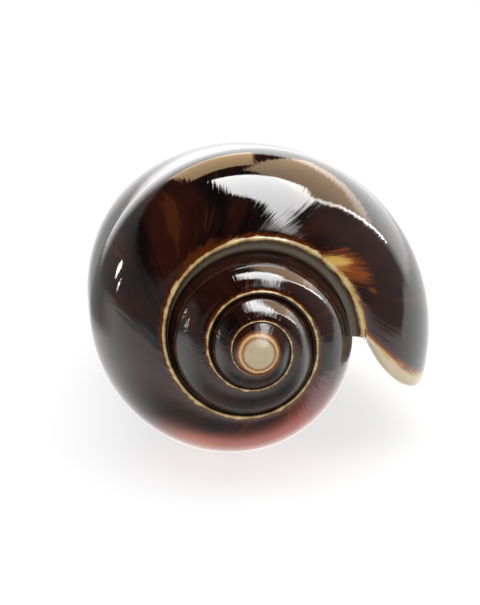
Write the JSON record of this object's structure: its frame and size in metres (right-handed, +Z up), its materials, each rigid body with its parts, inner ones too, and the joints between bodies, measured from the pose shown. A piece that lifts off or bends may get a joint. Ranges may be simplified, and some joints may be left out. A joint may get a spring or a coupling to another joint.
{
  "type": "olive shell",
  "caption": "Glossy, nearly black olive shell lying on its side: short stepped spire with a channelled suture, and a long body turn with a narrow mouth.",
  "frame": {"origin": "middle of the bounding box's underside, on the surface that the shell lies on", "axes": "+Z up, spire towards -Y and open front end towards +Y, mouth on the +X side"},
  "size_m": [0.0208, 0.0422, 0.018],
  "materials": {
    "shell": "gloss"
  },
  "bodies": {
    "root": {"shell": "shell"}
  },
  "joints": []
}
